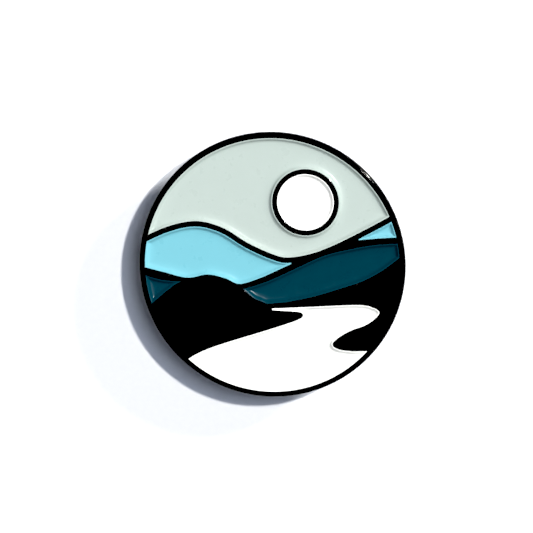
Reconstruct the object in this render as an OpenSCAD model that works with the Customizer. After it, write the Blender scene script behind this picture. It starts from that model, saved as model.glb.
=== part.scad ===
// Round soft-enamel lapel pin with a hill, river and sun scene, two posts and two butterfly clutches.
// The front faces +Z and the scene's top is towards +Y. The humps of the clutches stand on z = 0.

/* [Plate] */
// Diameter of the struck metal plate
pin_d = 32; // [30:0.5:34]
// Thickness of the plate
plate_t = 1.2; // [1.1:0.1:2]
// Width of the raised rim
rim_w = 0.7; // [0.5:0.05:0.9]
// Width of the raised lines
line_w = 0.65; // [0.5:0.05:0.8]
// Depth of the struck recesses
recess_depth = 0.6; // [0.5:0.05:0.7]
// How far the enamel lies below the raised lines
enamel_sink = 0.4; // [0.2:0.05:0.45]
// Rounding of the plate's edge at the front
front_round = 0.3; // [0.1:0.05:0.35]
// Rounding of the plate's edge at the back
back_round = 0.3; // [0.1:0.05:0.4]
// How much smaller the struck side is at the back, as a radius
side_draft = 0.1; // [0:0.05:0.2]

/* [Sun] */
// Sun's place to the right of the middle
sun_x = 4.05; // [3.5:0.05:4.5]
// Sun's place above the middle
sun_y = 7.55; // [7:0.05:8]
// Diameter of the sun's raised ring
sun_d = 8; // [7.5:0.1:8.5]
// Width of the sun's raised ring
sun_ring_w = 0.6; // [0.4:0.05:0.8]

/* [Posts] */
// Distance between the two posts
post_gap = 16; // [15:0.5:18]
// Diameter of a post
post_d = 1.1; // [1:0.05:1.15]
// Length of a post from the back of the plate to its tip
post_len = 7.2; // [6.8:0.1:7.4]
// Diameter of the flat head that is soldered on
head_d = 2.7; // [2.4:0.1:2.8]
// Diameter of the shallow spot that each head sits in
spot_d = 3.8; // [3.8:0.1:4.2]

/* [Clutches] */
// Diameter of a clutch
clutch_d = 11.4; // [11:0.2:12]
// Height of a clutch
clutch_h = 5.6; // [5.6:0.1:6]
// Free space for cloth between the back of the plate and a clutch
cloth_gap = 2.2; // [2.1:0.1:2.6]
// Thickness of the stamped sheet
sheet = 0.35; // [0.3:0.05:0.4]
// Angle of a wing to the cup
wing_angle = 38; // [34:1:40]

/* [Hidden] */
$fn = 96;

// Plate and enamel
pin_r = pin_d / 2;
field_r = pin_r - rim_w;
field_y = -0.05;
back_z = clutch_h + cloth_gap;
front_z = back_z + plate_t;
enamel_t = recess_depth - enamel_sink;
reach = 20;
curve_steps = 6;
cell_inset = 0.04;
cut = 1;

// Posts: the head lies in a shallow spot, with a ring of solder round it
post_r = post_d / 2;
spot_depth = 0.15;
head_h = 0.35;
solder_w = 0.45;
solder_h = 0.3;
neck_r = 0.45;
neck_from_tip = 1.5;
neck_len = 0.5;
tip_len = 0.9;
tip_r = 0.12;

// Clutch, in its own frame: the post's axis is z, and z = 0 is the face that presses the cloth
cup_r = clutch_d / 2;
cup_hole_r = post_r + 0.1;
roll_r = 0.55;
collar_w = 0.3;
collar_h = 0.25;
wall_x = 1.9;
shoulder_r = 1.1;
strap_w = 3.6;
foot_r = 4.5;
rivet_x = 3.3;
rivet_r = 0.4;
rivet_h = 0.15;
pivot_y = 2.3;
pivot_z = 1.75;
pivot_r = 0.3;
pivot_play = 0.06;
pivot_end = 0.1;
cheek_r = 0.75;
jaw_half_w = 1.6;
jaw_gap = 0.1;
jaw_reach = pivot_y - post_r - jaw_gap;
jaw_z = 1.35;
wing_neck = 1.3;
wing_len = 3.9;
wing_half_w = 2.7;
wing_corner = 0.9;
lip_len = 1.1;
lip_turn = 24;
spring_t = 0.2;
spring_half_w = 1.3;
spring_slot_r = 0.75;
spring_r = 2.62;
spring_z = clutch_h - sheet - spring_r;
spring_foot_z = 2.25;

// Curves of the scene through points picked by hand
wave_knots = [
    [-16.05, 2.55], [-12.55, 4.15], [-9.15, 4.85], [-6.05, 4.1], [-3.05, 2.3], [-0.05, 0.95],
    [1.95, 0.55], [4.95, 1.1], [7.95, 2.3], [11.95, 4.35], [15.95, 6.55]];
far_left_foot_knots = [
    [-16.05, -0.3], [-13.05, -1.05], [-10.25, -1.7], [-7.75, -1.3], [-5.65, -1.75], [-3.95, -2.4],
    [-1.55, -1.7], [0.45, -0.8], [2.45, 0.15]];
far_right_foot_knots = [[9.95, 2.95], [11.95, 3.15], [13.95, 3.3], [15.95, 3.4]];
near_left_top_knots = [[-16.05, -1.05], [-14.55, -1.6], [-13.05, -1.95], [-10.95, -2.1]];
near_left_foot_knots = [[-16.05, -6.35], [-14.55, -4.9], [-12.05, -2.8], [-10.95, -2.15]];
near_right_top_knots = [
    [-3.55, -2.95], [-2.05, -2.5], [-0.05, -1.75], [3.95, 0.15], [5.95, 1.05],
    [7.95, 1.65], [11.95, 2.45], [15.95, 2.75]];
near_right_foot_knots = [
    [-3.55, -3], [-2.35, -4.05], [-1.43, -4.47], [-0.65, -4.75], [0.46, -4.67], [1.95, -4.5],
    [4.95, -3.85], [7.95, -2.95], [10.95, -1.9], [13.45, -0.5], [15.95, 1.45]];
river_right_knots = [
    [-0.05, -5.25], [4.95, -5], [10.25, -4.75], [12.15, -5.1], [12.85, -5.7], [12.15, -6.6],
    [10.95, -7.35], [9.45, -7.9], [7.95, -8.75], [7.2, -9.6], [7.95, -10.15], [9.45, -10.35]];
river_rim = [[11.6, -10.35], [reach, -reach], [-reach, -reach]];
river_left_knots = [
    [-11.05, -12.25], [-10.05, -11.35], [-8.05, -10.3], [-5.05, -9.25], [-1.05, -8], [2.25, -6.9],
    [3.45, -6.35], [3.55, -5.9], [2.75, -5.7], [-0.05, -5.55]];

// A smooth curve through the knots, in short straight steps
function spline_at(a, b, c, d, t) =
    (2 * b + (c - a) * t + (2 * a - 5 * b + 4 * c - d) * t * t
        + (3 * b - a - 3 * c + d) * t * t * t) / 2;
function curve(knots) =
    let (last = len(knots) - 1)
    concat(
        [for (i = [0:last - 1]) for (k = [0:curve_steps - 1])
            spline_at(
                knots[max(i - 1, 0)], knots[i], knots[i + 1], knots[min(i + 2, last)],
                k / curve_steps)],
        [knots[last]]);

// The same curve moved sideways, to its left when the distance is positive
function beside(points, distance) =
    let (last = len(points) - 1)
    [for (i = [0:last])
        let (along = points[min(i + 1, last)] - points[max(i - 1, 0)])
        points[i] + distance * [-along[1], along[0]] / norm(along)];

wave_top = beside(curve(wave_knots), line_w / 2);
wave_foot = beside(curve(wave_knots), -line_w / 2);

// Curves that bound a cell from below or above, moved a little into it
function floor_curve(knots) = beside(curve(knots), cell_inset);
function roof_curve(knots) = beside(curve(knots), -cell_inset);

module above(points) { polygon(concat(points, [[reach, reach], [-reach, reach]])); }
module below(points) { polygon(concat(points, [[reach, -reach], [-reach, -reach]])); }
module in_field() { intersection() { translate([0, field_y]) circle(r = field_r); children(); } }

// Outlines of the seven enamel cells
module sky_cell() {
    difference() {
        in_field() above(wave_top);
        translate([sun_x, sun_y]) circle(d = sun_d);
    }
}

module sun_cell() { translate([sun_x, sun_y]) circle(r = sun_d / 2 - sun_ring_w); }

module far_hill_left_cell() {
    in_field() intersection() {
        below(wave_foot);
        above(floor_curve(far_left_foot_knots));
        translate([-reach, -reach / 2]) square([reach + 2.3, reach]);
    }
}

module far_hill_right_cell() {
    in_field() intersection() {
        below(wave_foot);
        above(floor_curve(far_right_foot_knots));
        translate([10.4, 0]) square(reach);
    }
}

module near_hill_left_cell() {
    in_field() intersection() {
        below(roof_curve(near_left_top_knots));
        above(floor_curve(near_left_foot_knots));
    }
}

module near_hill_right_cell() {
    in_field() intersection() {
        below(roof_curve(near_right_top_knots));
        above(floor_curve(near_right_foot_knots));
    }
}

module river_cell() {
    in_field() polygon(concat(
        roof_curve(river_right_knots), river_rim, roof_curve(river_left_knots)));
}

module recess() {
    translate([0, 0, front_z - recess_depth]) linear_extrude(recess_depth + cut) children();
}

module enamel() {
    translate([0, 0, front_z - recess_depth]) linear_extrude(enamel_t) children();
}

// Places its children at the left (-1) and the right (1) post
module at_post(side) { translate([side * post_gap / 2, 0]) children(); }

// Quarter-round corner of a turned profile, anticlockwise from an angle
function corner_arc(r, z, rounding, from) =
    [for (a = [from:15:from + 90]) [
        r - rounding + rounding * cos(a), z + rounding * sin(a)]];

module pin_plate() {
    color("#0a0a0c") difference() {
        rotate_extrude() polygon(concat(
            [[0, back_z]],
            corner_arc(pin_r - side_draft, back_z + back_round, back_round, -90),
            corner_arc(pin_r, front_z - front_round, front_round, 0),
            [[0, front_z]]));
        recess() sky_cell();
        recess() sun_cell();
        recess() far_hill_left_cell();
        recess() far_hill_right_cell();
        recess() near_hill_left_cell();
        recess() near_hill_right_cell();
        recess() river_cell();
        for (side = [-1, 1]) at_post(side) translate([0, 0, back_z - cut])
            cylinder(d = spot_d, h = cut + spot_depth);
    }
}

// A post hangs from the floor of its spot: flat head, shank, neck and tip
module post(side) {
    top = back_z + spot_depth;
    tip_z = back_z - post_len;
    neck_z = tip_z + neck_from_tip;
    color("silver") at_post(side) rotate_extrude() polygon([
        [0, top], [head_d / 2, top], [head_d / 2, top - head_h], [post_r, top - head_h],
        [post_r, neck_z + neck_len], [neck_r, neck_z + neck_len - 0.1],
        [neck_r, neck_z + 0.1], [post_r, neck_z], [post_r, tip_z + tip_len],
        [tip_r, tip_z], [0, tip_z]]);
}

// A hollow fillet of solder between the head's side and the floor of the spot
module solder(side) {
    top = back_z + spot_depth;
    color("gainsboro") at_post(side) rotate_extrude() polygon(concat(
        [[head_d / 2, top]],
        [for (a = [0:15:90]) [
            head_d / 2 + solder_w * (1 - sin(a)), top - solder_h * (1 - cos(a))]]));
}

// Turns a clutch part over and sets it below the plate, on its post
module on_post(side) { at_post(side) translate([0, 0, clutch_h]) rotate([180, 0, 0]) children(); }

// Cup: a flat disc with a collared hole and an edge rolled inwards
module clutch_cup() {
    roll_x = cup_r - roll_r;
    color("lightsteelblue") rotate_extrude() {
        translate([cup_hole_r, 0]) square([roll_x - cup_hole_r, sheet]);
        translate([cup_hole_r, 0]) square([collar_w, sheet + collar_h]);
        translate([roll_x, roll_r]) difference() {
            circle(r = roll_r);
            circle(r = roll_r - sheet);
            translate([-2 * roll_r, sheet - roll_r]) square([2 * roll_r, 0.25]);
        }
    }
}

// Outline of the keeper's arch with rounded shoulders
module arch(half_w, height, corner) {
    translate([-half_w, 0]) square([2 * half_w, height - corner]);
    translate([corner - half_w, 0]) square([2 * (half_w - corner), height]);
    for (side = [-1, 1]) translate([side * (half_w - corner), height - corner]) circle(r = corner);
}

// Keeper: a hump-shaped strap on two feet, with cheeks that carry the wings' pivots
module clutch_keeper() {
    color("lightgray") {
        difference() {
            translate([0, strap_w / 2, 0]) rotate([90, 0, 0]) linear_extrude(strap_w)
                difference() {
                    translate([0, sheet])
                        arch(wall_x + sheet, clutch_h - sheet, shoulder_r);
                    arch(wall_x, clutch_h - sheet, shoulder_r - sheet);
                }
            keeper_pivot_holes();
        }
        for (side = [-1, 1]) difference() {
            translate([side > 0 ? wall_x : -wall_x - sheet, 0, 0]) {
                translate([0, -pivot_y, sheet])
                    cube([sheet, 2 * pivot_y, pivot_z + cheek_r - sheet]);
                for (end = [-1, 1]) translate([0, end * pivot_y, pivot_z])
                    rotate([0, 90, 0]) cylinder(r = cheek_r, h = sheet);
            }
            keeper_pivot_holes();
        }
        translate([0, 0, sheet]) linear_extrude(sheet) intersection() {
            circle(r = foot_r);
            for (side = [-1, 1]) translate([side > 0 ? wall_x : -foot_r, -strap_w / 2])
                square([foot_r - wall_x, strap_w]);
        }
        for (side = [-1, 1]) translate([side * rivet_x, 0, 2 * sheet])
            cylinder(r1 = rivet_r, r2 = rivet_r - rivet_h, h = rivet_h);
    }
}

module keeper_pivot_holes() {
    for (end = [-1, 1]) translate([-2 * wall_x, end * pivot_y, pivot_z]) rotate([0, 90, 0])
        cylinder(r = pivot_r + pivot_play, h = 4 * wall_x);
}

// Grip spring: a bowed strip inside the hump, slotted for the post's tip
module grip_spring() {
    color("silver") difference() {
        translate([-spring_half_w, 0, spring_z]) rotate([90, 0, 90])
            linear_extrude(2 * spring_half_w) difference() {
                circle(r = spring_r);
                circle(r = spring_r - spring_t);
                translate([-reach, -reach + spring_foot_z - spring_z]) square([2 * reach, reach]);
            }
        cylinder(r = spring_slot_r, h = reach);
    }
}

// Wing on the +Y side: a jaw that stops just short of the post, pivots in the cheeks, and a finger plate
module clutch_wing() {
    jaw_tilt = atan((pivot_z - jaw_z) / pivot_y);
    color("gainsboro") {
        translate([0, pivot_y, pivot_z]) rotate([jaw_tilt, 0, 0])
            translate([-jaw_half_w, -jaw_reach, -sheet / 2])
                cube([2 * jaw_half_w, jaw_reach, sheet]);
        translate([-wall_x - sheet - pivot_end, pivot_y, pivot_z]) rotate([0, 90, 0])
            cylinder(r = pivot_r, h = 2 * (wall_x + sheet + pivot_end));
        translate([0, pivot_y, pivot_z]) rotate([wing_angle, 0, 0]) {
            translate([0, 0, -sheet / 2]) linear_extrude(sheet) wing_outline();
            translate([0, wing_len, 0]) rotate([-lip_turn, 0, 0])
                translate([0, 0, -sheet / 2]) linear_extrude(sheet) lip_outline();
        }
    }
}

// Flat outline of the finger plate, narrow between the cheeks and wide beyond them
module wing_outline() {
    translate([-jaw_half_w, 0]) square([2 * jaw_half_w, wing_neck + wing_corner]);
    translate([-wing_half_w, wing_neck + wing_corner])
        square([2 * wing_half_w, wing_len - wing_neck - wing_corner]);
    for (side = [-1, 1]) translate([side * (wing_half_w - wing_corner), wing_neck + wing_corner])
        circle(r = wing_corner);
}

module lip_outline() {
    square_w = wing_half_w - lip_len;
    translate([-square_w, 0]) square([2 * square_w, lip_len]);
    intersection() {
        translate([-wing_half_w, 0]) square([2 * wing_half_w, lip_len]);
        for (side = [-1, 1]) translate([side * square_w, 0]) circle(r = lip_len);
    }
}

module upper_wing(side) { on_post(side) mirror([0, 1, 0]) clutch_wing(); }
module lower_wing(side) { on_post(side) clutch_wing(); }

pin_plate();
color("#d2dfd8") enamel() sky_cell();  // enamel_sky
color("#fdfefc") enamel() sun_cell();  // enamel_sun
color("#8cdceb") enamel() far_hill_left_cell();  // enamel_far_hill_left
color("#8cdceb") enamel() far_hill_right_cell();  // enamel_far_hill_right
color("#00485a") enamel() near_hill_left_cell();  // enamel_near_hill_left
color("#00485a") enamel() near_hill_right_cell();  // enamel_near_hill_right
color("#fdfefc") enamel() river_cell();  // enamel_river
post(-1);  // post_left
post(1);  // post_right
solder(-1);  // solder_left
solder(1);  // solder_right
on_post(-1) clutch_cup();  // clutch_cup_left
on_post(1) clutch_cup();  // clutch_cup_right
on_post(-1) clutch_keeper();  // clutch_keeper_left
on_post(1) clutch_keeper();  // clutch_keeper_right
on_post(-1) grip_spring();  // grip_spring_left
on_post(1) grip_spring();  // grip_spring_right
upper_wing(-1);  // wing_left_upper
lower_wing(-1);  // wing_left_lower
upper_wing(1);  // wing_right_upper
lower_wing(1);  // wing_right_lower
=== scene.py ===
"""Round soft-enamel lapel pin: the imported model's looks, in its own frame and in metres."""

import math

import bmesh
import bpy
import numpy as np
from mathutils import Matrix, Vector, geometry, kdtree


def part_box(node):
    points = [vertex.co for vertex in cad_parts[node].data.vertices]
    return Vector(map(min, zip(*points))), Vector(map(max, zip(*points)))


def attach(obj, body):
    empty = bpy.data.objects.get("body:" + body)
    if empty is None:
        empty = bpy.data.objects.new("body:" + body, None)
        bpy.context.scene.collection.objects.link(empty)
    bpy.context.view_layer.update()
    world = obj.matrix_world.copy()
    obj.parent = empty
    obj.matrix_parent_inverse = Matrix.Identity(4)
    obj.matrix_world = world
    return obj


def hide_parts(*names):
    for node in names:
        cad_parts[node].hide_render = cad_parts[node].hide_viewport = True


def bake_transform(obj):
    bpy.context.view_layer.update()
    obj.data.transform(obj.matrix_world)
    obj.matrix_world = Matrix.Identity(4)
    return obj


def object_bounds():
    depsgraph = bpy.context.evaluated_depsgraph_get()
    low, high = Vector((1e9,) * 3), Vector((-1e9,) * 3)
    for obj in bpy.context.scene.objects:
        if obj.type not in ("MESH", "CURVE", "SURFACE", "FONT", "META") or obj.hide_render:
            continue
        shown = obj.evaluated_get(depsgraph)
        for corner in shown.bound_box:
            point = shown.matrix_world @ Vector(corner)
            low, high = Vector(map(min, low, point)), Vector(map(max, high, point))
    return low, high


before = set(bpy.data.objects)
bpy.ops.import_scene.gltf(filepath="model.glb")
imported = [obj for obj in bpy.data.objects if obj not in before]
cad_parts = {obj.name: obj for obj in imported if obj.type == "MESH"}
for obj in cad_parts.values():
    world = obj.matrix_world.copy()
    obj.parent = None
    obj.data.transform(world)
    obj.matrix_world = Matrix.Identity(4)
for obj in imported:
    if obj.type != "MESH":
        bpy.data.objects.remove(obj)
CAD_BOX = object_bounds()
MM = 0.001
WELD = 2e-7  # metres

PLATE_LOW, PLATE_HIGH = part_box("pin_plate")
PIN_R = PLATE_HIGH.x / MM
FRONT_Z = PLATE_HIGH.z / MM
BACK_Z = PLATE_LOW.z / MM
FLOOR_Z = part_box("enamel_sky")[0].z / MM
ENAMEL_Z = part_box("enamel_sky")[1].z / MM

ENAMELS = {
    "enamel_sky": "enamel_pale_green",
    "enamel_sun": "enamel_white",
    "enamel_far_hill_left": "enamel_light_blue",
    "enamel_far_hill_right": "enamel_light_blue",
    "enamel_near_hill_left": "enamel_teal",
    "enamel_near_hill_right": "enamel_teal",
    "enamel_river": "enamel_white",
}


# Outlines, in millimetres in the plate's plane


def top_loops(node):
    """Outlines of a node's flat top: anticlockwise outside, clockwise round a hole."""
    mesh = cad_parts[node].data
    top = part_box(node)[1].z
    corners = [tuple(round(c / MM, 5) for c in v.co) for v in mesh.vertices]
    edges = set()
    for face in mesh.polygons:
        ring = [corners[i] for i in face.vertices]
        if all(abs(p[2] * MM - top) < 1e-7 for p in ring):
            edges.update(zip(ring, ring[1:] + ring[:1]))
    following = {a: b for a, b in edges if (b, a) not in edges}
    loops = []
    while following:
        start = point = min(following)
        loop = []
        while point in following:
            loop.append(point[:2])
            point = following.pop(point)
        assert point == start
        loops.append(np.array(loop))
    return sorted(loops, key=len, reverse=True)


SHARPEST_CURVE = math.cos(math.radians(28))  # a point that turns more is a real corner
OUTLINE_STEP = 0.11


def smoothed(loop):
    """The loop as a smooth curve between its real corners."""
    count = len(loop)
    before, after = np.roll(loop, 1, 0), np.roll(loop, -1, 0)
    u, v = loop - before, after - loop
    turn = (u * v).sum(1) / np.linalg.norm(u, axis=1) / np.linalg.norm(v, axis=1)
    corner = turn < SHARPEST_CURVE
    points = []
    for i in range(count):
        b, c = loop[i], loop[(i + 1) % count]
        a = b if corner[i] else loop[i - 1]
        d = c if corner[(i + 1) % count] else loop[(i + 2) % count]
        span = np.linalg.norm(c - b)
        parts = max(1, round(span / OUTLINE_STEP))
        m0 = (c - a) / max(np.linalg.norm(b - a) + span, 1e-9) * span
        m1 = (d - b) / max(np.linalg.norm(d - c) + span, 1e-9) * span
        for k in range(parts):
            t = k / parts
            points.append(
                (2 * t**3 - 3 * t**2 + 1) * b
                + (t**3 - 2 * t**2 + t) * m0
                + (3 * t**2 - 2 * t**3) * c
                + (t**3 - t**2) * m1
            )
    return np.array(points)


def circle(x, y, r, count, clockwise=False):
    angle = np.linspace(0, 2 * math.pi, count, endpoint=False)
    if clockwise:
        angle = -angle
    return np.stack([x + r * np.cos(angle), y + r * np.sin(angle)], 1)


class Walls:
    """Distance from points to the nearest outline."""

    def __init__(self, loops):
        self.points = np.concatenate(loops)
        self.after = np.concatenate([np.roll(loop, -1, 0) for loop in loops])
        self.before = np.concatenate([np.roll(loop, 1, 0) for loop in loops])
        self.tree = kdtree.KDTree(len(self.points))
        for i, (x, y) in enumerate(self.points):
            self.tree.insert((x, y, 0), i)
        self.tree.balance()

    def distance(self, xy):
        near = np.array([self.tree.find((x, y, 0))[1] for x, y in xy], int)
        p = self.points[near]
        best = np.full(len(xy), 1e9)
        for other in (self.after[near], self.before[near]):
            along = other - p
            t = ((xy - p) * along).sum(1) / np.maximum((along**2).sum(1), 1e-12)
            foot = p + np.clip(t, 0, 1)[:, None] * along
            best = np.minimum(best, np.linalg.norm(xy - foot, axis=1))
        return best


def offset_rings(loops, distances):
    """Points beside each loop, on its left, as (points, distance) pairs."""
    rings = []
    for loop in loops:
        along = np.roll(loop, -1, 0) - np.roll(loop, 1, 0)
        along /= np.linalg.norm(along, axis=1)[:, None]
        left = np.stack([-along[:, 1], along[:, 0]], 1)
        for d in distances:
            rings.append((loop + left * d, d))
    return rings


def inside_faces(faces, fences):
    """Triangles that an odd number of outlines goes round."""
    sides = {}
    for i, face in enumerate(faces):
        for a, b in zip(face, face[1:] + face[:1]):
            sides.setdefault(frozenset((a, b)), []).append(i)
    inside, waiting = {}, []
    for link, owners in sides.items():
        if len(owners) == 1 and owners[0] not in inside:
            inside[owners[0]] = link in fences
            waiting.append(owners[0])
    while waiting:
        i = waiting.pop()
        face = faces[i]
        for a, b in zip(face, face[1:] + face[:1]):
            link = frozenset((a, b))
            for other in sides[link]:
                if other not in inside:
                    inside[other] = inside[i] != (link in fences)
                    waiting.append(other)
    return [face for i, face in enumerate(faces) if inside[i]]


ROW = 0.866  # between the rows of a lattice of equal triangles, as a share of its step
CLEAR = 0.93  # a ring's point nearer to a wall than this share of its distance is left out


def filled(loops, rings=(), grid=None):
    """Triangles between closed loops: (points, faces, distance of each point from the loops)."""
    walls = Walls(loops)
    chosen = [np.concatenate(loops)]
    for ring, d in offset_rings(loops, rings):
        chosen.append(ring[walls.distance(ring) > CLEAR * d])
    if grid:
        edge = max(rings) + 0.3 * grid if rings else 0.5 * grid
        low, high = chosen[0].min(0), chosen[0].max(0)
        xs = np.arange(low[0], high[0], grid)
        ys = np.arange(low[1], high[1], grid * ROW)
        lattice = np.array([(x + (j % 2) * grid / 2, y) for j, y in enumerate(ys) for x in xs])
        chosen.append(lattice[walls.distance(lattice) > edge])
    points = np.concatenate(chosen)
    edges, start = [], 0
    for loop in loops:
        n = len(loop)
        edges += [(start + i, start + (i + 1) % n) for i in range(n)]
        start += n
    co, links, faces, _, link_origins, _ = geometry.delaunay_2d_cdt(
        [Vector(p) for p in points], edges, [], 0, 1e-5, True
    )
    co = np.array([tuple(p) for p in co])
    fences = {frozenset(link) for link, origin in zip(links, link_origins) if origin}
    return co, inside_faces(faces, fences), walls.distance(co)


def closed_mesh(name, parts):
    """One mesh from (points in mm, faces) parts, joined where they meet."""
    mesh = bpy.data.meshes.new(name)
    bm = bmesh.new()
    for points, faces in parts:
        verts = [bm.verts.new(Vector(p) * MM) for p in points]
        for face in faces:
            bm.faces.new([verts[i] for i in face])
    bmesh.ops.remove_doubles(bm, verts=bm.verts, dist=WELD)
    loose = [v for v in bm.verts if not v.link_faces]
    bmesh.ops.delete(bm, geom=loose, context="VERTS")
    bmesh.ops.recalc_face_normals(bm, faces=bm.faces)
    bm.to_mesh(mesh)
    bm.free()
    mesh.polygons.foreach_set("use_smooth", [True] * len(mesh.polygons))
    mesh.set_sharp_from_angle(angle=math.radians(40))
    return mesh


def lifted(points, z):
    """Points of the plane at a height, which may be one number or one for each point."""
    return np.column_stack([points, np.broadcast_to(z, len(points))])


def band(loops_low, loops_high):
    """Wall between two loops of equally many points."""
    n = len(loops_low)
    points = np.concatenate([loops_low, loops_high])
    return points, [(i, (i + 1) % n, n + (i + 1) % n, n + i) for i in range(n)]


def add_piece(name, mesh, material, body, slot, *nodes):
    piece = bpy.data.objects.new(name, mesh)
    bpy.context.collection.objects.link(piece)
    piece.data.materials.clear()
    piece.data.materials.append(material)
    if body:
        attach(piece, body)
    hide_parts(*nodes)
    return piece


# Materials


class Nodes:
    """Short way to make shader nodes."""

    def __init__(self, tree):
        self.tree = tree

    def add(self, kind, **settings):
        node = self.tree.nodes.new("ShaderNode" + kind)
        for key, value in settings.items():
            if hasattr(node, key):
                setattr(node, key, value)
            else:
                node.inputs[key.replace("_", " ")].default_value = value
        return node

    def link(self, a, b):
        self.tree.links.new(a, b)

    def noise(self, scale, detail=3.0, rough=0.55, source=None):
        """Noise of 0 to 1 with that many cells to the metre."""
        node = self.add("TexNoise", Scale=scale, Detail=detail, Roughness=rough)
        self.link(source or self.place(), node.inputs["Vector"])
        return node.outputs["Fac"]

    def place(self, stretch=None):
        coords = self.add("TexCoord").outputs["Object"]
        if stretch is None:
            return coords
        mapping = self.add("Mapping")
        mapping.inputs["Scale"].default_value = stretch
        self.link(coords, mapping.inputs["Vector"])
        return mapping.outputs["Vector"]

    def ranged(self, value, low, high, to_low, to_high):
        limits = {"From Min": low, "From Max": high, "To Min": to_low, "To Max": to_high}
        node = self.add("MapRange")
        for name, number in limits.items():
            node.inputs[name].default_value = number
        self.link(value, node.inputs["Value"])
        return node.outputs["Result"]

    def math(self, operation, a, b):
        node = self.add("Math", operation=operation)
        for socket, value in zip(node.inputs, (a, b)):
            if isinstance(value, (int, float)):
                socket.default_value = value
            else:
                self.link(value, socket)
        return node.outputs["Value"]

    def mix(self, factor, a, b):
        node = self.add("Mix", data_type="RGBA")
        sockets = node.inputs["Factor"], node.inputs[6], node.inputs[7]
        for socket, value in zip(sockets, (factor, a, b)):
            if isinstance(value, (int, float, tuple)):
                socket.default_value = value
            else:
                self.link(value, socket)
        return node.outputs[2]

    def bump(self, height, distance, strength):
        node = self.add("Bump", Strength=strength, Distance=distance)
        self.link(height, node.inputs["Height"])
        return node.outputs["Normal"]


def new_material(name):
    material = bpy.data.materials.new(name)
    material.use_nodes = True
    return material, Nodes(material.node_tree), material.node_tree.nodes["Principled BSDF"]


def rgb(*channels, scale=1.0):
    """Linear colour from display channels of 0 to 255."""
    def linear(c):
        c /= 255
        return c / 12.92 if c <= 0.04045 else ((c + 0.055) / 1.055) ** 2.4
    return tuple(linear(c) * scale for c in channels) + (1.0,)


def shade(colour, factor):
    return tuple(min(1.0, c * factor) for c in colour[:3]) + (1.0,)


def enamel_material(name, colour, roughness, specks=0.0):
    """Glossy enamel, a little cloudy, with an uneven skin and sparse dust of that strength."""
    material, n, shader = new_material(name)
    shader.inputs["IOR"].default_value = 1.52
    shader.inputs["Specular IOR Level"].default_value = 0.35
    shader.inputs["Coat Weight"].default_value = 0.12
    shader.inputs["Coat Roughness"].default_value = 0.09
    cloud = n.noise(420, 2.0)
    grain = n.noise(5200, 2.0, 0.7)
    tone = n.mix(n.ranged(cloud, 0.35, 0.65, 0, 1), shade(colour, 0.985), shade(colour, 1.01))
    tone = n.mix(n.ranged(grain, 0.3, 0.7, 0, 1), tone, colour)
    if specks:
        cell = n.add("TexVoronoi", Scale=520.0)
        n.link(n.place(), cell.inputs["Vector"])
        dust = n.ranged(cell.outputs["Distance"], 0.02, 0.05, 1, 0)
        chosen = n.ranged(n.noise(260, 1.0), 0.66, 0.7, 0, specks)
        tone = n.mix(n.math("MULTIPLY", dust, chosen), tone, shade(colour, 0.45))
    n.link(tone, shader.inputs["Base Color"])
    rough = n.ranged(n.noise(900, 3.0), 0.3, 0.7, roughness - 0.04, roughness + 0.05)
    n.link(rough, shader.inputs["Roughness"])
    peel = n.math("ADD", n.noise(700, 2.0), n.math("MULTIPLY", grain, 0.12))
    n.link(n.bump(peel, 0.003 * MM, 0.6), shader.inputs["Normal"])
    return material


def black_plate_material():
    """Black nickel: bare metal shows in patches where the edges are worn."""
    material, n, shader = new_material("black_plating")
    shader.inputs["IOR"].default_value = 1.5
    shader.inputs["Specular IOR Level"].default_value = 0.16
    fine = n.noise(9000, 3.0, 0.65)
    broad = n.noise(600, 3.0)
    worn = n.add("Attribute", attribute_name="edge_wear").outputs["Fac"]
    patchy = n.math("MULTIPLY", worn, n.ranged(n.noise(3200, 4.0, 0.7), 0.5, 0.72, 0, 1))
    dark, light = (0.0003, 0.0003, 0.0004, 1), (0.0008, 0.0008, 0.001, 1)
    bare = (0.05, 0.046, 0.042, 1)
    tone = n.mix(n.ranged(broad, 0.3, 0.7, 0, 1), dark, light)
    tone = n.mix(patchy, tone, bare)
    n.link(tone, shader.inputs["Base Color"])
    n.link(n.ranged(fine, 0.3, 0.7, 0.06, 0.1), shader.inputs["Roughness"])
    scratch = n.noise(2600, 4.0, 0.7, n.place((1.0, 9.0, 3.0)))
    height = n.math("ADD", n.math("MULTIPLY", fine, 0.5), n.math("MULTIPLY", scratch, 0.5))
    n.link(n.bump(height, 0.003 * MM, 0.5), shader.inputs["Normal"])
    return material


def metal_material(name, colour, roughness, stretch, bump_mm, blotch=0.03):
    """Metal with fine marks, drawn out along an axis by the stretch."""
    material, n, shader = new_material(name)
    shader.inputs["Metallic"].default_value = 1.0
    broad = n.noise(400, 3.0)
    fine = n.noise(9000, 4.0, 0.7, n.place(stretch))
    tone = n.mix(n.ranged(broad, 0.3, 0.7, 0, 1), shade(colour, 0.94), colour)
    tone = n.mix(n.ranged(fine, 0.55, 0.8, 0, 0.4), tone, shade(colour, 0.82))
    n.link(tone, shader.inputs["Base Color"])
    rough = n.ranged(n.noise(1400, 4.0, 0.65), 0.3, 0.7, roughness - blotch, roughness + blotch)
    n.link(rough, shader.inputs["Roughness"])
    n.link(n.bump(fine, bump_mm * MM, 0.5), shader.inputs["Normal"])
    return material


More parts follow.
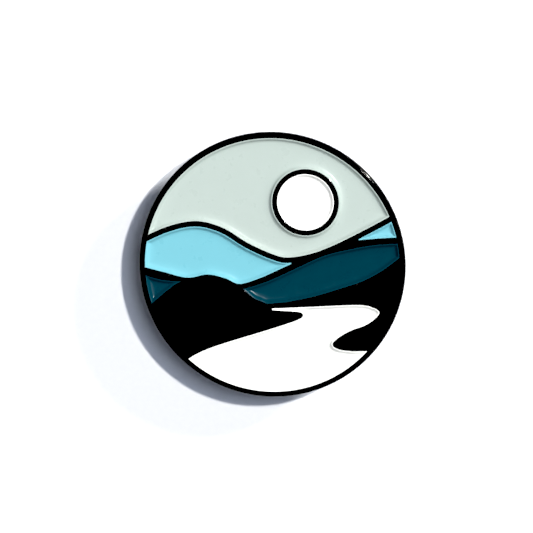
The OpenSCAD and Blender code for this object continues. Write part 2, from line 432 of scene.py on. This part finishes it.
WHITE = (0.87, 0.868, 0.81, 1)
PALE_GREEN = rgb(213, 227, 217, scale=0.573)
LIGHT_BLUE = rgb(142, 221, 234, scale=0.57)
TEAL = rgb(9, 69, 83, scale=0.555)
PLATED = (0.75, 0.73, 0.69, 1)
DRAWN = (0.74, 0.72, 0.68, 1)
TINNED = (0.6, 0.6, 0.62, 1)
STEEL = (0.6, 0.61, 0.64, 1)
MATERIALS = {
    "enamel_pale_green": enamel_material("enamel_pale_green", PALE_GREEN, 0.3, 0.35),
    "enamel_white": enamel_material("enamel_white", WHITE, 0.3, 0.15),
    "enamel_light_blue": enamel_material("enamel_light_blue", LIGHT_BLUE, 0.3),
    "enamel_teal": enamel_material("enamel_teal", TEAL, 0.3),
    "black_plate": black_plate_material(),
    "nickel": metal_material("nickel_plating", PLATED, 0.2, (1, 1, 1), 0.0012),
    "post_nickel": metal_material("drawn_nickel_wire", DRAWN, 0.2, (1, 1, 0.1), 0.0015),
    "solder": metal_material("solder_fillet", TINNED, 0.38, (1, 1, 1), 0.006, 0.08),
    "spring_steel": metal_material("spring_strip", STEEL, 0.26, (8, 1, 1), 0.002),
}


# Plate, in millimetres

LINE_ROUND = 0.06
# Bends of the plate's struck front edge, outwards: (radius, slope before, slope after)
EDGE_BENDS = ((0.06, 0, 22), (0.06, 22, 3), (1.5, 3, 6), (0.25, 6, 90))
HEEL = 0.3
DRAFT = 0.1
SPOT_R = 1.9
AROUND = 480  # points round the plate, and round a spot
SPOT_AROUND = 64
LINE_RINGS = (0.02, 0.06)
LINE_GRID = 0.55
BACK_GRID = 1.0
WEAR_WIDTH = 0.1
WEAR_DEPTH = 0.25
CELLS = {node: [smoothed(loop) for loop in top_loops(node)] for node in ENAMELS}


def heel(parts=7):
    """The round between the plate's side and its back, downwards, as (radius, height) pairs."""
    angles = (math.radians(-90 * k / parts) for k in range(parts + 1))
    r, z = PIN_R - DRAFT - HEEL, BACK_Z + HEEL
    return [(r + HEEL * math.cos(a), z + HEEL * math.sin(a)) for a in angles]


def struck_edge():
    """The plate's front edge, a fine step and a round, as (radius, height) pairs."""
    r, z = 0.0, FRONT_Z
    points = [(r, z)]
    for radius, start, end in EDGE_BENDS:
        slopes = np.radians(np.linspace(start, end, max(3, abs(end - start) // 9) + 1))
        for a, b in zip(slopes, slopes[1:]):
            r += radius * abs(math.sin(b) - math.sin(a))
            z -= radius * abs(math.cos(a) - math.cos(b))
            points.append((r, z))
    return [(PIN_R - r + inset, height) for inset, height in points]


def spots():
    """Shallow round spots that the posts' heads stand in, as (x, y, height of the floor)."""
    found = []
    for post in ("post_left", "post_right"):
        low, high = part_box(post)
        found.append(((low.x + high.x) / 2 / MM, (low.y + high.y) / 2 / MM, high.z / MM))
    return found


def edge_wear(co, walls):
    """Wear of the plating, from 1 on the front's edges to 0 away from them."""
    to_side = np.abs(np.hypot(co[:, 0], co[:, 1]) - PIN_R + WEAR_WIDTH)
    near = np.minimum(walls.distance(co[:, :2]), to_side)
    return np.where(co[:, 2] > FRONT_Z - WEAR_DEPTH, np.clip(1 - near / WEAR_WIDTH, 0, 1), 0)


def make_plate():
    parts = []
    cell_loops = [loop for loops in CELLS.values() for loop in loops]
    edge = struck_edge()
    outer = circle(0, 0, edge[0][0], AROUND)
    holes = [loop[::-1] for loop in cell_loops]
    top, faces, _ = filled([outer] + holes, LINE_RINGS, LINE_GRID)
    inset = np.maximum(0, LINE_ROUND - Walls(holes).distance(top))
    rounding = LINE_ROUND - np.sqrt(np.maximum(0, LINE_ROUND**2 - inset**2))
    parts.append((lifted(top, FRONT_Z - rounding), faces))
    for loop in cell_loops:
        parts.append(band(lifted(loop, FLOOR_Z), lifted(loop, FRONT_Z - LINE_ROUND)))
    for loops in CELLS.values():
        floor, faces, _ = filled(loops)
        parts.append((lifted(floor, FLOOR_Z), faces))
    side = edge + heel()
    for (r0, z0), (r1, z1) in zip(side, side[1:]):
        upper, lower = circle(0, 0, r0, AROUND), circle(0, 0, r1, AROUND)
        parts.append(band(lifted(upper, z0), lifted(lower, z1)))
    places = spots()
    rims = [circle(x, y, SPOT_R, SPOT_AROUND, clockwise=True) for x, y, _ in places]
    back_edge = circle(0, 0, PIN_R - DRAFT - HEEL, AROUND)
    back, faces, _ = filled([back_edge] + rims, (), BACK_GRID)
    parts.append((lifted(back, BACK_Z), faces))
    for rim, (_, _, z) in zip(rims, places):
        parts.append(band(lifted(rim, BACK_Z), lifted(rim, z)))
        floor, faces, _ = filled([rim[::-1]])
        parts.append((lifted(floor, z), faces))
    mesh = closed_mesh("pin_plate_detailed", parts)
    co = np.array([v.co for v in mesh.vertices]) / MM
    attribute = mesh.attributes.new("edge_wear", "FLOAT", "POINT")
    attribute.data.foreach_set("value", edge_wear(co, Walls(cell_loops)).astype(np.float32))
    add_piece("plate", mesh, MATERIALS["black_plate"], "pin", "black_plate", "pin_plate")


# Enamel: it creeps up the walls of its cell in a hollow curve

LIP_DROP = 0.03
ENAMEL_GRID = 0.5
RINGS = (
    0.02, 0.05, 0.08, 0.11, 0.14, 0.17, 0.2, 0.23, 0.27, 0.31, 0.36,
    0.42, 0.5, 0.6, 0.75, 0.95, 1.2,
)

# Slope of the hollow, in degrees, by distance from the wall in millimetres
SLOPE_AT = (0.0, 0.06, 0.1, 0.15, 0.25, 0.34, 0.42, 0.5, 0.6, 0.8, 1.0, 1.3)
SLOPES = (3, 6, 22, 52, 56, 45, 28, 16, 9, 6, 3, 0)


def meniscus(distance):
    """Height of the enamel by distance from the wall, as a share of its rise."""
    at = np.linspace(0, SLOPE_AT[-1], 400)
    fall = np.tan(np.radians(np.interp(at, SLOPE_AT, SLOPES)))
    height = np.cumsum(fall[::-1])[::-1]
    return np.interp(distance, at, height / height[0])


def make_enamel(node, slot):
    loops = CELLS[node]
    top, faces, distance = filled(loops, RINGS, ENAMEL_GRID)
    rise = FRONT_Z - LIP_DROP - ENAMEL_Z
    parts = [(lifted(top, ENAMEL_Z + rise * meniscus(distance)), faces)]
    edge = ENAMEL_Z + rise * meniscus(np.zeros(1))[0]
    for loop in loops:
        parts.append(band(lifted(loop, FLOOR_Z), lifted(loop, edge)))
    floor, faces, _ = filled(loops)
    parts.append((lifted(floor, FLOOR_Z), faces))
    mesh = closed_mesh(node + "_detailed", parts)
    name = node.replace("enamel_", "enamel_fill_")
    add_piece(name, mesh, MATERIALS[slot], "pin", slot, node)


make_plate()
for node, slot in ENAMELS.items():
    make_enamel(node, slot)


# Hardware on the back


def refined(node, width, cut=0):
    """Copy of a node's mesh, edges rounded by width, cut to the side of y that the sign says."""
    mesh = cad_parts[node].data.copy()
    bm = bmesh.new()
    bm.from_mesh(mesh)
    bmesh.ops.remove_doubles(bm, verts=bm.verts, dist=WELD)
    if cut:
        geom = bm.verts[:] + bm.edges[:] + bm.faces[:]
        bmesh.ops.bisect_plane(
            bm, geom=geom, plane_co=(0, 0, 0), plane_no=(0, cut, 0), clear_inner=True
        )
        rim = [e for e in bm.edges if e.is_boundary]
        bmesh.ops.holes_fill(bm, edges=rim)
    flat = math.radians(0.5)
    bmesh.ops.dissolve_limit(bm, angle_limit=flat, verts=bm.verts, edges=bm.edges)
    if width:
        bent = math.radians(30)
        sharp = [e for e in bm.edges if e.is_manifold and e.calc_face_angle(0) > bent]
        bmesh.ops.bevel(
            bm, geom=sharp, offset=width * MM, offset_type="OFFSET", segments=2,
            profile=0.5, affect="EDGES", clamp_overlap=True,
        )
    bmesh.ops.recalc_face_normals(bm, faces=bm.faces)
    bm.to_mesh(mesh)
    bm.free()
    mesh.polygons.foreach_set("use_smooth", [True] * len(mesh.polygons))
    mesh.set_sharp_from_angle(angle=math.radians(35))
    return mesh


def add_refined(name, node, material, body, slot, width):
    piece = add_piece(name, refined(node, width), MATERIALS[material], body, slot, node)
    weighted = piece.modifiers.new("even_normals", "WEIGHTED_NORMAL")
    weighted.keep_sharp = True


for side in ("left", "right"):
    clutch = "clutch_" + side
    add_refined("post_wire_" + side, "post_" + side, "post_nickel", "pin", "nickel", 0.04)
    add_refined("solder_ring_" + side, "solder_" + side, "solder", "pin", "solder", 0.0)
    add_refined("cup_" + side, "clutch_cup_" + side, "nickel", clutch, "nickel", 0.04)
    add_refined("keeper_" + side, "clutch_keeper_" + side, "nickel", clutch, "nickel", 0.05)
    for level, sign in (("upper", 1), ("lower", -1)):
        wing = f"wing_{side}_{level}"
        add_refined(f"finger_{side}_{level}", wing, "nickel", wing, "nickel", 0.05)
        strip = add_piece(
            f"spring_{side}_{level}", refined("grip_spring_" + side, 0.03, cut=sign),
            MATERIALS["spring_steel"], None, "spring_steel", "grip_spring_" + side,
        )
        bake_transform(strip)


# Floor, light and camera

FLOOR_DROP = 0.02 * MM  # under the lowest piece, so that no face lies in the floor
FLOOR_SIZE = 2.0


def make_floor():
    bm = bmesh.new()
    bmesh.ops.create_grid(bm, x_segments=24, y_segments=24, size=FLOOR_SIZE)
    mesh = bpy.data.meshes.new("floor")
    bm.to_mesh(mesh)
    bm.free()
    floor = bpy.data.objects.new("floor", mesh)
    floor.location.z = CAD_BOX[0].z - FLOOR_DROP
    bpy.context.collection.objects.link(floor)
    material, n, shader = new_material("pale_paper")
    shader.inputs["Specular IOR Level"].default_value = 0.2
    shader.inputs["Roughness"].default_value = 0.9
    fibre = n.noise(1600, 5.0, 0.7)
    dark, light = (0.86, 0.868, 0.876, 1), (0.89, 0.898, 0.905, 1)
    n.link(n.mix(n.ranged(fibre, 0.3, 0.7, 0, 1), dark, light), shader.inputs["Base Color"])
    n.link(n.bump(fibre, 0.03 * MM, 0.4), shader.inputs["Normal"])
    mesh.materials.append(material)


# Suns: strength, width in degrees, colour, azimuth and lean from the vertical in degrees
SUNS = {
    "key": (2.8, 1.8, (1.0, 0.985, 0.965), 38.5, 25.4),
    "low": (3.6, 8, (0.98, 0.985, 1.0), 36, 55),
    "high": (1.05, 15, (0.72, 0.8, 1.0), 39, 17.5),
}
LAMP_DISTANCE = 0.5


def aimed_lamp(light, azimuth, lean):
    """A lamp that points at the origin from an azimuth, leaning that far from the vertical."""
    azimuth, lean = math.radians(azimuth), math.radians(lean)
    towards = Vector((
        math.sin(lean) * math.cos(azimuth), math.sin(lean) * math.sin(azimuth), math.cos(lean)
    ))
    lamp = bpy.data.objects.new(light.name, light)
    lamp.rotation_mode = "QUATERNION"
    lamp.rotation_quaternion = towards.to_track_quat("Z", "Y")
    lamp.location = towards * LAMP_DISTANCE
    bpy.context.collection.objects.link(lamp)
    return lamp


def make_light():
    for name, (energy, width, colour, azimuth, lean) in SUNS.items():
        light = bpy.data.lights.new(name, "SUN")
        light.energy = energy
        light.angle = math.radians(width)
        light.color = colour
        aimed_lamp(light, azimuth, lean).visible_glossy = name == "key"

    fill = bpy.data.lights.new("fill", "AREA")
    fill.shape = "DISK"
    fill.size = 0.6
    fill.energy = 0.2
    fill.color = (0.74, 0.82, 1.0)
    aimed_lamp(fill, 200, 12).visible_glossy = False

    world = bpy.data.worlds.new("studio")
    bpy.context.scene.world = world
    world.use_nodes = True
    n = Nodes(world.node_tree)
    background = world.node_tree.nodes["Background"]
    split = n.add("SeparateXYZ")
    n.link(n.add("TexCoord").outputs["Generated"], split.inputs["Vector"])
    height = n.ranged(split.outputs["Z"], 0.35, 0.7, 1, 0)
    side = n.math("ADD", split.outputs["X"], split.outputs["Y"])
    strength = n.ranged(side, -0.7, 1.2, 0.02, 0.18)
    background.inputs["Color"].default_value = (0.86, 0.92, 1.0, 1)
    n.link(n.math("MULTIPLY", height, strength), background.inputs["Strength"])


# The camera stands far off, so that there is hardly any perspective
CAMERA_TOWARDS = Vector((0.110, 0.152, 0.982)).normalized()
CAMERA_DISTANCE = 2.0
VIEW_WIDTH = 63.6 * MM
PIN_OFFSET = Vector((0.68015, 0.214784, 0)) * MM  # right of and above the middle of the view
SENSOR = 36


def make_camera():
    turn = Vector((0, 0, 1)).rotation_difference(CAMERA_TOWARDS)
    aim = Vector((0, 0, PLATE_HIGH.z)) - turn @ PIN_OFFSET
    data = bpy.data.cameras.new("camera")
    data.sensor_width = SENSOR
    data.lens = SENSOR * CAMERA_DISTANCE / VIEW_WIDTH
    data.clip_start, data.clip_end = 0.01, 10
    camera = bpy.data.objects.new("camera", data)
    camera.rotation_mode = "QUATERNION"
    camera.rotation_quaternion = turn
    camera.location = aim + CAMERA_TOWARDS * CAMERA_DISTANCE
    bpy.context.collection.objects.link(camera)
    bpy.context.scene.camera = camera


make_floor()
make_light()
make_camera()
display = bpy.context.scene.view_settings
display.view_transform = "Standard"
display.use_curve_mapping = True
display.curve_mapping.black_level = (0.012, 0.012, 0.012)

bpy.context.view_layer.update()
